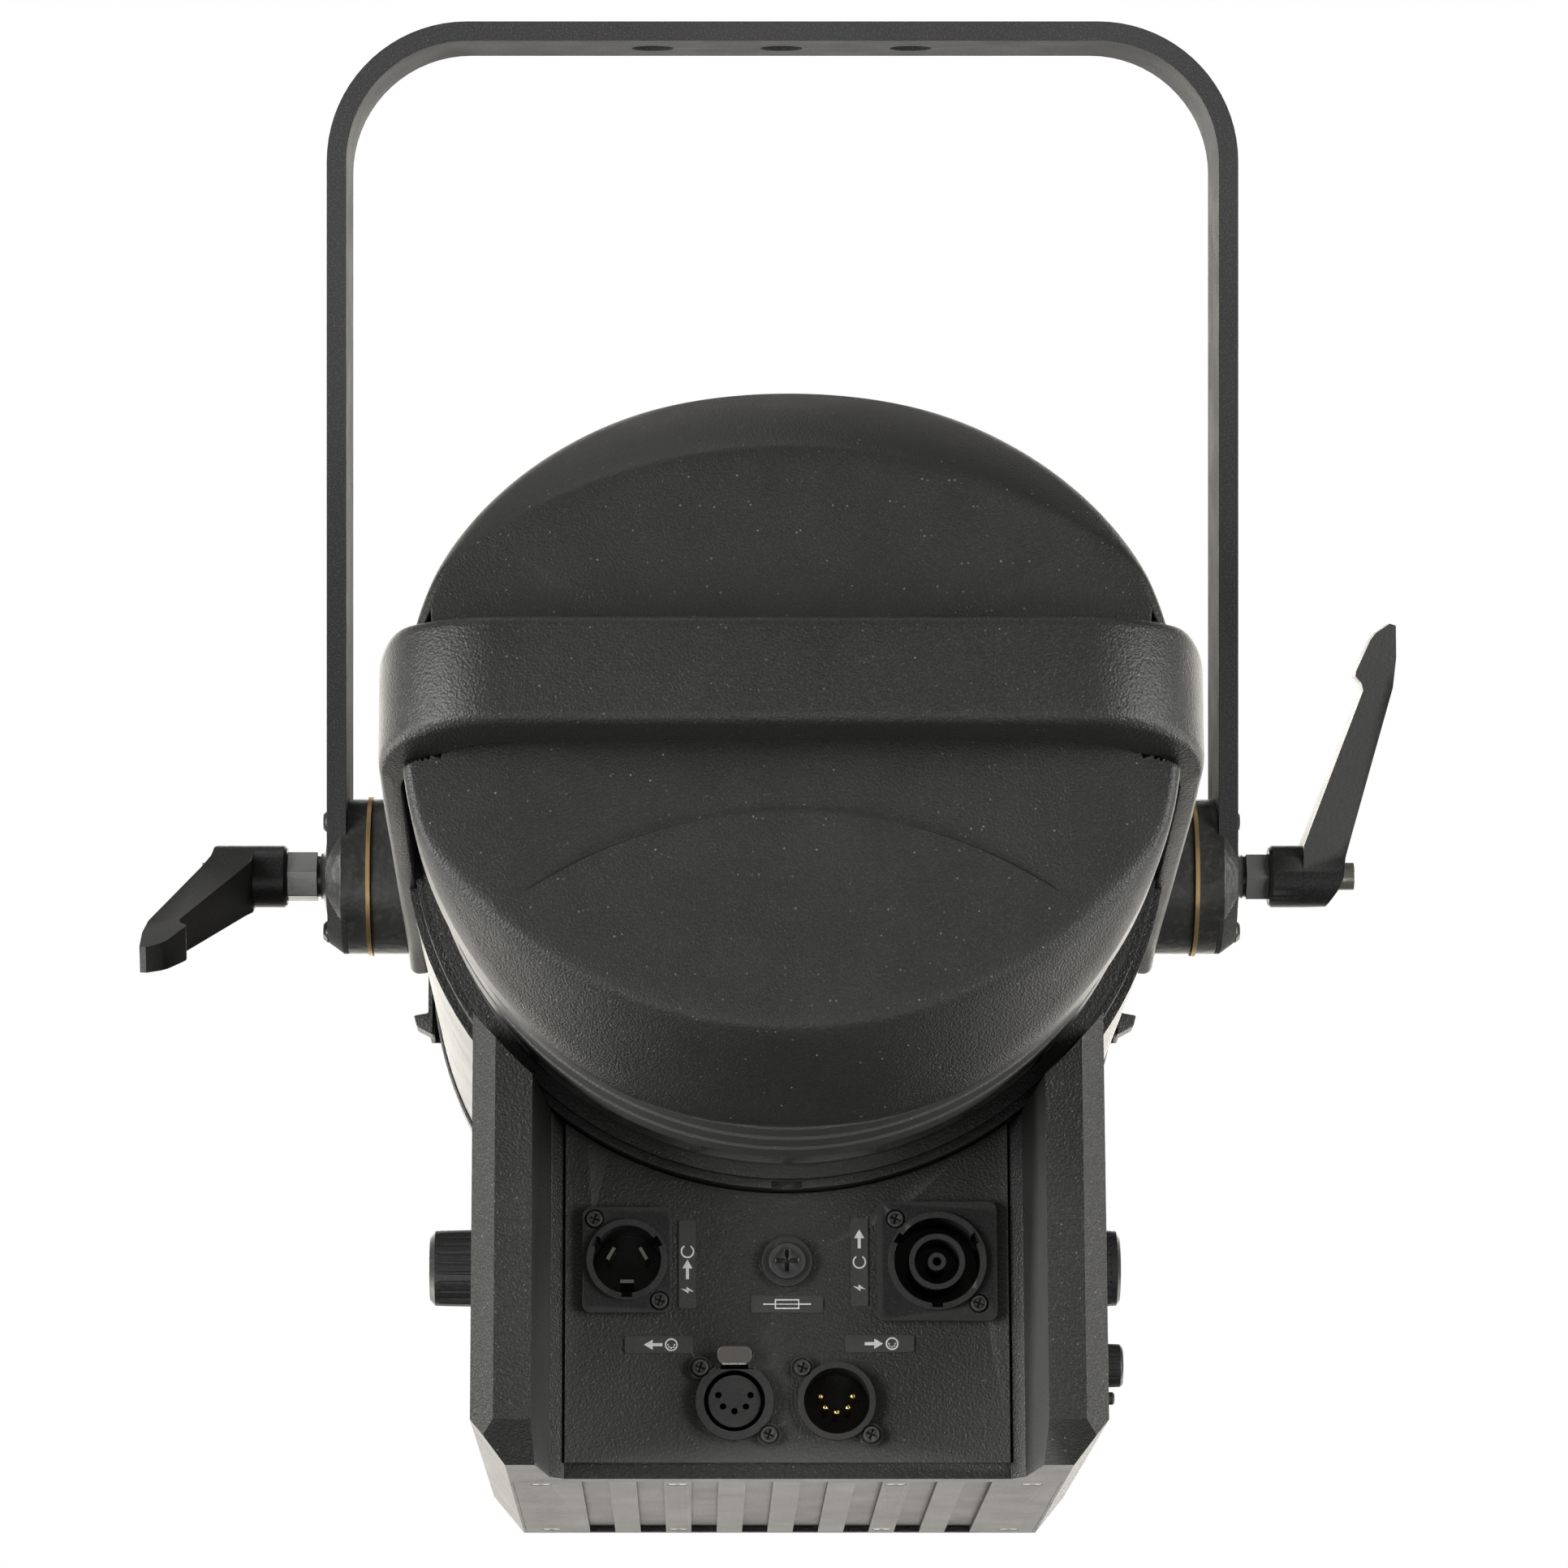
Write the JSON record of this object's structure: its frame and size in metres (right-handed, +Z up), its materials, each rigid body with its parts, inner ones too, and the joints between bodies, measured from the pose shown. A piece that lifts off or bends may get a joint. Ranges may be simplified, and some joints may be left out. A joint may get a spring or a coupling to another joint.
{
  "type": "stage fresnel spotlight",
  "caption": "Stage spotlight with a Fresnel lens and manual zoom, a carry handle behind its rounded rear cap, tilting in a hanging yoke with clamp levers.",
  "frame": {"origin": "centre of the middle clamp hole at the yoke's top face", "axes": "+Z up out of the yoke's top face, +Y along the beam as seen from above, +X to the right seen from behind"},
  "size_m": [0.3827, 0.427, 0.4718],
  "materials": {
    "casting": "die-cast aluminium under a fine textured black powder coat",
    "yoke_paint": "satin powder coat",
    "moulding": "finely speckled moulded plastic",
    "lever_paint": "smooth satin powder coat on die-cast zinc",
    "black_steel": "black zinc finish",
    "bright_steel": "bright zinc plated",
    "friction_brass": "dull friction disc",
    "bushing_brass": "turned",
    "gold_contact": "gold plated",
    "fin_aluminium": "plain extruded",
    "connector_plastic": "glass filled nylon",
    "knob_plastic": "soft satin",
    "fan_plastic": "moulded",
    "lens_glass": "clear pressed glass",
    "display_glass": "tinted window",
    "label_film": "printed film",
    "circuit_board": "solder mask",
    "board_white": "white solder mask",
    "phosphor": "phosphor dome",
    "supply_case": "folded sheet",
    "rough_casting": "die-cast aluminium, its wavy cast skin painted black",
    "print_white": "white printed symbols"
  },
  "bodies": {
    "yoke": {"yoke_bar": "yoke_paint", "yoke_clutch_discs": "rough_casting", "clutch_screws": "black_steel", "friction_washers": "friction_brass", "flange_washers": "black_steel"},
    "left_stud": {"lever_stud_left": "black_steel", "lever_screw_left": "bright_steel"},
    "left_lever": {"lever_arm_left": "lever_paint"},
    "right_stud": {"lever_stud_right": "black_steel", "lever_screw_right": "bright_steel"},
    "right_lever": {"lever_arm_right": "lever_paint"},
    "fan": {"fan_rotor": "fan_plastic"},
    "latch": {"accessory_latch": "casting"},
    "lens_slide": {"lens_carriage": "connector_plastic", "fresnel_lens": "lens_glass", "lens_clips": "bright_steel", "zoom_rack": "bright_steel"},
    "zoom_drive": {"zoom_shaft": "bright_steel", "zoom_pinion": "bushing_brass", "zoom_knob_left": "knob_plastic", "zoom_knob_right": "knob_plastic"},
    "fuse": {"fuse_cap": "connector_plastic"},
    "push_tab": {"data_latch": "bright_steel"},
    "menu": {"menu_knob": "knob_plastic"},
    "back": {"back_button": "knob_plastic"},
    "lock": {"lock_button": "knob_plastic"},
    "head": {"pivot_bosses": "rough_casting", "carry_handle": "casting", "rear_cap": "moulding", "vent_grille": "moulding", "cap_screws": "bright_steel", "heat_sink": "fin_aluminium", "fan_frame": "fan_plastic", "led_board": "board_white", "led_emitter": "phosphor", "drum_body": "casting", "front_bezel": "casting", "bezel_screws": "black_steel", "accessory_holders": "casting", "guide_rods": "bright_steel", "shaft_bushes": "bushing_brass", "housing_shell": "casting", "base_plate": "casting", "base_screws": "black_steel", "rear_panel": "casting", "panel_labels": "label_film", "power_inlet": "connector_plastic", "power_outlet": "connector_plastic", "power_contacts": "bright_steel", "fuse_holder": "connector_plastic", "data_outlet": "connector_plastic", "data_inlet": "connector_plastic", "data_pins": "gold_contact", "connector_screws": "black_steel", "control_panel": "label_film", "display_window": "display_glass", "power_supply": "supply_case", "control_board": "circuit_board"}
  },
  "joints": [
    {"name": "head_tilt", "type": "hinge", "parent": "yoke", "child": "head", "pos_m": [0, 0, -0.263], "axis": [1, 0, 0], "range_deg": [-107.5, 102.5]},
    {"name": "left_lever_turn", "type": "hinge", "parent": "head", "child": "left_stud", "pos_m": [0, 0, -0.263], "axis": [-1, 0, 0], "range_deg": [-45, 180]},
    {"name": "left_lever_pull", "type": "slide", "parent": "left_stud", "child": "left_lever", "axis": [-1, 0, 0], "range_m": [0, 0.005]},
    {"name": "right_lever_turn", "type": "hinge", "parent": "head", "child": "right_stud", "pos_m": [0, 0, -0.263], "axis": [1, 0, 0], "range_deg": [-45, 180]},
    {"name": "right_lever_pull", "type": "slide", "parent": "right_stud", "child": "right_lever", "axis": [1, 0, 0], "range_m": [0, 0.005]},
    {"name": "fan_spin", "type": "hinge", "parent": "head", "child": "fan", "pos_m": [0, -0.16109, -0.22729], "axis": [0, 0.9763, -0.2164], "continuous": true},
    {"name": "latch_open", "type": "hinge", "parent": "head", "child": "latch", "pos_m": [0, 0.18511, -0.18112], "axis": [1, 0, 0], "range_deg": [0, 100]},
    {"name": "zoom_turn", "type": "hinge", "parent": "head", "child": "zoom_drive", "pos_m": [0, -0.02648, -0.38245], "axis": [1, 0, 0], "range_deg": [0, 660]},
    {"name": "zoom_slide", "type": "slide", "parent": "head", "child": "lens_slide", "axis": [0, 0.9763, -0.2164], "range_m": [-0.069, 0]},
    {"name": "fuse_turn", "type": "hinge", "parent": "head", "child": "fuse", "pos_m": [0, -0.11054, -0.3735], "axis": [0, -0.9763, 0.2164], "range_deg": [0, 90]},
    {"name": "push_tab_press", "type": "slide", "parent": "head", "child": "push_tab", "axis": [0, 0.9763, -0.2164], "range_m": [0, 0.0012]},
    {"name": "menu_turn", "type": "hinge", "parent": "head", "child": "menu", "pos_m": [0.095, -0.0931, -0.40573], "axis": [1, 0, 0], "continuous": true},
    {"name": "back_press", "type": "slide", "parent": "head", "child": "back", "axis": [-1, 0, 0], "range_m": [0, 0.001]},
    {"name": "lock_press", "type": "slide", "parent": "head", "child": "lock", "axis": [-1, 0, 0], "range_m": [0, 0.001]}
  ],
  "couplings": [
    {"joint": "zoom_turn", "follows": "zoom_slide", "rad_per_m": -166.67}
  ]
}
